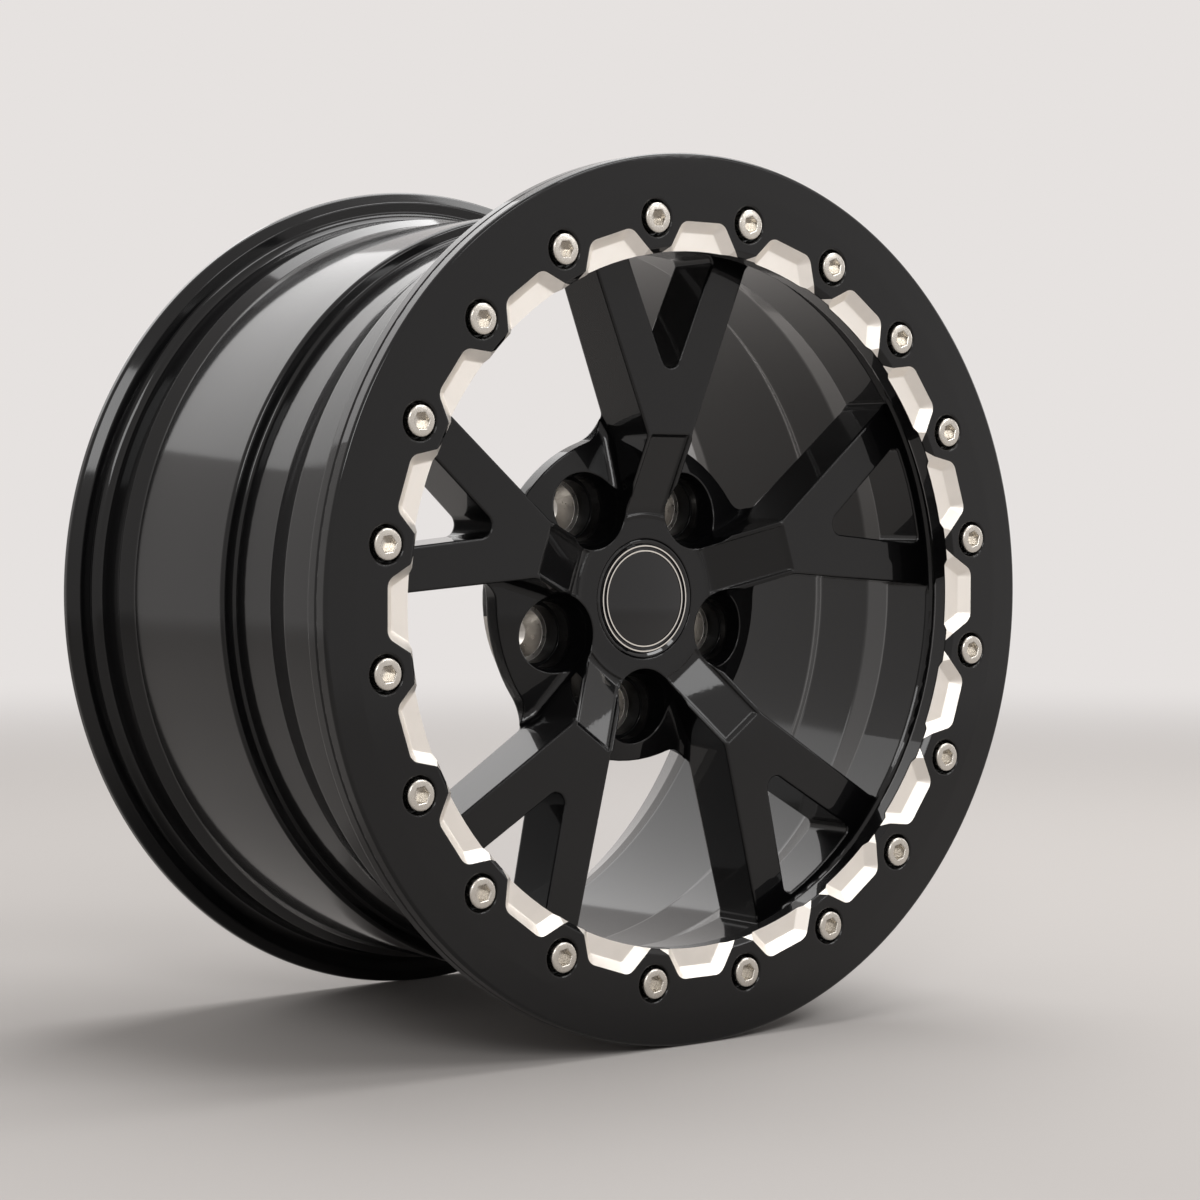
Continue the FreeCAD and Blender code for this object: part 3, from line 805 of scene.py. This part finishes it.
@dataclass
class RingScrews:
    """The stainless socket head screws that hold the ring, each with its socket at a turn of its own."""

    node: str = "ring_screws"
    count: int = 20
    circle_mm: float = 202.6
    first_deg: float = 9.0
    turn_deg: float = 17.0        # from one socket to the next
    head_mm: float = 8.0
    head_height_mm: float = 10.0
    crown_mm: float = 1.1         # round of the head's upper edge
    key_mm: float = 8.0           # socket across flats
    key_depth_mm: float = 5.0
    key_lead_mm: float = 0.35     # countersink of the socket
    shank_mm: float = 5.0
    length_mm: float = 30.0
    side_cuts: int = 3            # points along each side of the socket
    top_y_mm: float = field(init=False)

    def __post_init__(self) -> None:
        """Find the plane of the screw heads."""
        self.top_y_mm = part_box(self.node)[0].y / MM

    def build_screw(self) -> bpy.types.Mesh:
        """Model one screw that stands up along Z, with the top of its head at the origin.

        Returns:
            Its mesh.
        """
        mesh = bmesh.new()
        corners = bmesh.ops.create_circle(mesh, segments=6, radius=self.key_mm / math.sqrt(3) * MM)["verts"]
        sides = list({edge for vert in corners for edge in vert.link_edges})
        cut = bmesh.ops.subdivide_edges(mesh, edges=sides, cuts=self.side_cuts)
        key = list({item for item in cut["geom"] if isinstance(item, bmesh.types.BMEdge)})
        rim_verts = bmesh.ops.create_circle(mesh, segments=len(key), radius=self.head_mm * MM)["verts"]
        rim = list({edge for vert in rim_verts for edge in vert.link_edges})
        bmesh.ops.bridge_loops(mesh, edges=key + rim)
        floor = extrude_loop(mesh, key, -self.key_depth_mm * MM)
        bmesh.ops.edgeloop_fill(mesh, edges=floor)
        seat = extrude_loop(mesh, rim, -self.head_height_mm * MM)
        neck = extrude_loop(mesh, seat, 0.0, self.shank_mm / self.head_mm)
        end = extrude_loop(mesh, neck, -self.length_mm * MM)
        bmesh.ops.edgeloop_fill(mesh, edges=end)
        bmesh.ops.bevel(mesh, geom=rim, offset=self.crown_mm * MM, segments=4, profile=0.5, affect="EDGES",
                        material=-1)
        bmesh.ops.bevel(mesh, geom=key, offset=self.key_lead_mm * MM, segments=1, profile=0.5, affect="EDGES",
                        material=-1)
        screw = bpy.data.meshes.new("screw")
        mesh.to_mesh(screw)
        mesh.free()
        return screw

    def dress(self, nodes: dict[str, bpy.types.Object]) -> list[bpy.types.Object]:
        """Model the screws and give them their finish.

        Args:
            nodes: the solids' objects by name; not used.

        Returns:
            The pieces.
        """
        mesh = bmesh.new()
        screw = self.build_screw()
        upright = Matrix.Rotation(math.pi / 2, 4, "X")
        seat = Matrix.Translation((0.0, self.top_y_mm * MM, self.circle_mm * MM)) @ upright
        for i in range(self.count):
            around_wheel = Matrix.Rotation(math.radians(self.first_deg + i * 360 / self.count), 4, "Y")
            turn = Matrix.Rotation(math.radians(i * self.turn_deg), 4, "Z")
            copy = screw.copy()
            copy.transform(around_wheel @ seat @ turn)
            mesh.from_mesh(copy)
            bpy.data.meshes.remove(copy)
        bpy.data.meshes.remove(screw)
        piece = finish_mesh(mesh, "socket_screws", self.node, sharp_deg=40.0)
        paint_faces(piece, TurnedMetal("screw_stainless", self.count, self.circle_mm, self.first_deg), [])
        return [piece]


@dataclass
class CentreCap:
    """The pressed-in cap: black plastic with plated beads and a plain domed disc."""

    body_node: str = "cap_body"
    disc_node: str = "cap_disc"
    bead_radii_mm: tuple[float, ...] = (25.9, 28.6)
    bead_half_mm: float = 0.6
    bead_level_mm: float = 0.05   # the tops lie within this of the bead plane
    dome_mm: float = 1.9          # crown of the disc above its edge
    dome_cuts: tuple[int, int] = (96, 240)
    bead_y_mm: float = field(init=False)

    def __post_init__(self) -> None:
        """Find the plane of the bead tops."""
        self.bead_y_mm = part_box(self.body_node)[0].y / MM

    def is_bead(self, centre: Vector, normal: Vector) -> bool:
        """Whether a face is the top of a bead.

        Args:
            centre: the face's centre, in millimetres.
            normal: the face's normal; not used.

        Returns:
            True if it is.
        """
        radius = math.hypot(centre.x, centre.z)
        level = centre.y - self.bead_y_mm
        on_bead = any(abs(radius - bead) < self.bead_half_mm for bead in self.bead_radii_mm)
        return on_bead and level < self.bead_level_mm

    def build_disc(self) -> bpy.types.Object:
        """Model the disc as the cap of a sphere on a short edge.

        Returns:
            The piece that stands for the disc.
        """
        low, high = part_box(self.disc_node)
        radius, crown = high.x, self.dome_mm * MM
        sphere = (radius ** 2 + crown ** 2) / (2 * crown)
        mesh = bmesh.new()
        bmesh.ops.create_uvsphere(mesh, u_segments=self.dome_cuts[0], v_segments=self.dome_cuts[1],
                                  radius=sphere)
        everything = [*mesh.verts, *mesh.edges, *mesh.faces]
        bmesh.ops.bisect_plane(mesh, geom=everything, plane_co=(0.0, 0.0, sphere - crown),
                               plane_no=(0.0, 0.0, 1.0), clear_inner=True)
        rim = [edge for edge in mesh.edges if edge.is_boundary]
        back = extrude_loop(mesh, rim, crown - (high.y - low.y))
        bmesh.ops.edgeloop_fill(mesh, edges=back)
        place = Matrix.Translation((0.0, low.y + sphere, 0.0)) @ Matrix.Rotation(math.pi / 2, 4, "X")
        bmesh.ops.transform(mesh, matrix=place, verts=mesh.verts)
        return finish_mesh(mesh, "cap_dome", self.disc_node, sharp_deg=40.0)

    def dress(self, nodes: dict[str, bpy.types.Object]) -> list[bpy.types.Object]:
        """Model the disc and give the cap its finishes.

        Args:
            nodes: the solids' objects by name.

        Returns:
            The pieces.
        """
        body, disc = nodes[self.body_node], self.build_disc()
        paint_faces(body, MouldedPlastic("cap_plastic"), [(PolishedPlating("bead_plating"), self.is_bead)])
        paint_faces(disc, MouldedPlastic("cap_dome_plastic", roughness=0.03), [])
        return [body, disc]


class LampUse(Enum):
    """What a lamp is there for."""

    CEILING = "ceiling panel"
    BACK = "back panel"
    FRONT = "front panel"
    SIDE = "side strip"
    KEY = "key panel"
    EDGE = "edge panel"
    WINDOW = "window"


@dataclass(frozen=True)
class Lamp:
    """A soft rectangular lamp that looks at the wheel."""

    use: LampUse
    place: tuple[float, float, float]
    width: float
    height: float
    radiance: float

    def build(self) -> bpy.types.Object:
        """Make the lamp.

        Returns:
            The lamp's object.
        """
        data = bpy.data.lights.new(self.use.value, "AREA")
        data.shape = "RECTANGLE"
        data.size, data.size_y = self.width, self.height
        data.energy = self.radiance * math.pi * self.width * self.height
        lamp = bpy.data.objects.new(self.use.value, data)
        bpy.context.scene.collection.objects.link(lamp)
        lamp.visible_camera = False
        lamp.location = self.place
        lamp.rotation_euler = (-Vector(self.place)).to_track_quat("-Z", "Y").to_euler()
        return lamp


@dataclass
class Studio:
    """A pale floor that fades into a pale room, soft lamps and the camera."""

    floor_z: float
    floor_colour: str = "#BDB9B6"
    room_colour: str = "#E6E2E0"
    floor_radius: float = 6.0
    fade_start: float = 1.1       # distance from the wheel where the floor starts to fade into the room
    fade_end: float = 3.2
    matt_share: float = 0.45      # share of the room's light that falls on matt surfaces
    eye: tuple[float, float, float] = (-0.9935, -1.319275, 0.0548)
    look: tuple[float, float, float] = (0.6146, 0.7881, -0.0351)
    up: tuple[float, float, float] = (0.0195, 0.0293, 0.9994)
    lens_mm: float = 87.78
    sensor_mm: float = 36.0
    lamps: list[Lamp] = field(default_factory=lambda: [
        Lamp(LampUse.CEILING, (0.9, 0.3, 2.3), 2.2, 2.0, 4.2),
        Lamp(LampUse.BACK, (-0.2, 2.6, 1.75), 2.8, 1.3, 1.4),
        Lamp(LampUse.FRONT, (1.7, -2.2, 2.3), 1.2, 0.8, 7.0),
        Lamp(LampUse.SIDE, (2.0, -0.55, 0.435), 0.5, 0.5, 2.4),
        Lamp(LampUse.KEY, (0.38, -1.71, 1.34), 0.5, 0.3, 6.0),
        Lamp(LampUse.EDGE, (-1.6, -2.4, 1.5), 1.0, 1.0, 7.0),
        Lamp(LampUse.WINDOW, (1.9, -2.5, 0.90), 0.8, 0.35, 3.0),
    ])

    def build_floor(self) -> bpy.types.Object:
        """Make the round floor.

        Returns:
            The floor's object.
        """
        mesh = bmesh.new()
        bmesh.ops.create_circle(mesh, cap_ends=True, segments=64, radius=self.floor_radius)
        bmesh.ops.translate(mesh, verts=mesh.verts, vec=(0, 0, self.floor_z))
        data = bpy.data.meshes.new("floor")
        mesh.to_mesh(data)
        mesh.free()
        floor = bpy.data.objects.new("floor", data)
        bpy.context.scene.collection.objects.link(floor)
        floor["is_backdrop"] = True
        return floor

    def build_floor_paint(self) -> bpy.types.Material:
        """Make the floor's matt paint, which takes on the light of the room further out.

        Returns:
            The material.
        """
        material, tree, surface = new_material("floor_paint")
        place = add_node(tree, "ShaderNodeTexCoord").outputs["Object"]
        reach = add_node(tree, "ShaderNodeVectorMath", {0: place}, operation="LENGTH").outputs["Value"]
        fade = add_node(tree, "ShaderNodeMapRange", {
            "Value": reach, "From Min": self.fade_start, "From Max": self.fade_end},
            interpolation_type="SMOOTHERSTEP").outputs["Result"]
        paint = add_node(tree, "ShaderNodeBsdfDiffuse", {"Color": linear(self.floor_colour)})
        room = add_node(tree, "ShaderNodeEmission", {"Color": linear(self.room_colour), "Strength": 1.0})
        mix = add_node(tree, "ShaderNodeMixShader", {
            "Fac": fade, 1: paint.outputs["BSDF"], 2: room.outputs["Emission"]})
        tree.links.new(mix.outputs["Shader"], surface)
        return material

    def build_world(self) -> None:
        """Surround the wheel with the pale room, which lights matt surfaces less than the lamps do."""
        world = bpy.data.worlds.new("studio")
        bpy.context.scene.world = world
        world.use_nodes = True
        tree = world.node_tree
        rays = add_node(tree, "ShaderNodeLightPath").outputs
        seen = add_node(tree, "ShaderNodeMath", {
            0: rays["Is Camera Ray"], 1: rays["Is Glossy Ray"]}, operation="MAXIMUM").outputs["Value"]
        seen = add_node(tree, "ShaderNodeMath", {
            0: seen, 1: rays["Is Transmission Ray"]}, operation="MAXIMUM").outputs["Value"]
        strength = add_node(tree, "ShaderNodeMapRange", {
            "Value": seen, "To Min": self.matt_share, "To Max": 1.0})
        back = tree.nodes["Background"]
        back.inputs["Color"].default_value = linear(self.room_colour)
        tree.links.new(strength.outputs["Result"], back.inputs["Strength"])

    def build_camera(self) -> bpy.types.Object:
        """Place the camera where the photograph was taken.

        Returns:
            The camera's object.
        """
        data = bpy.data.cameras.new("camera")
        data.lens = self.lens_mm
        data.sensor_width = self.sensor_mm
        back = -Vector(self.look).normalized()
        side = Vector(self.up).cross(back).normalized()
        head = back.cross(side)
        turn = Matrix((side, head, back)).transposed().to_4x4()
        camera = bpy.data.objects.new("camera", data)
        bpy.context.scene.collection.objects.link(camera)
        camera.matrix_world = Matrix.Translation(Vector(self.eye)) @ turn
        bpy.context.scene.camera = camera
        return camera

    def build(self) -> None:
        """Set up the whole studio."""
        self.build_floor().data.materials.append(self.build_floor_paint())
        self.build_world()
        for lamp in self.lamps:
            lamp.build()
        self.build_camera()
        bpy.context.scene.view_settings.view_transform = "Standard"


def main() -> None:
    """Load the solids, dress them and set up the studio."""
    logging.basicConfig(level=logging.INFO, format="%(message)s")
    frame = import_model()
    cad_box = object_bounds()
    for assembly in (ForgedWheel(), RimRing(), RingScrews(), CentreCap()):
        for piece in assembly.dress(frame["nodes"]):
            data = piece.data
            LOG.info("%s: %d faces, %d finishes", piece.name, len(data.polygons), len(data.materials))
    Studio(floor_z=cad_box[0].z).build()


if __name__ == "__main__":
    main()
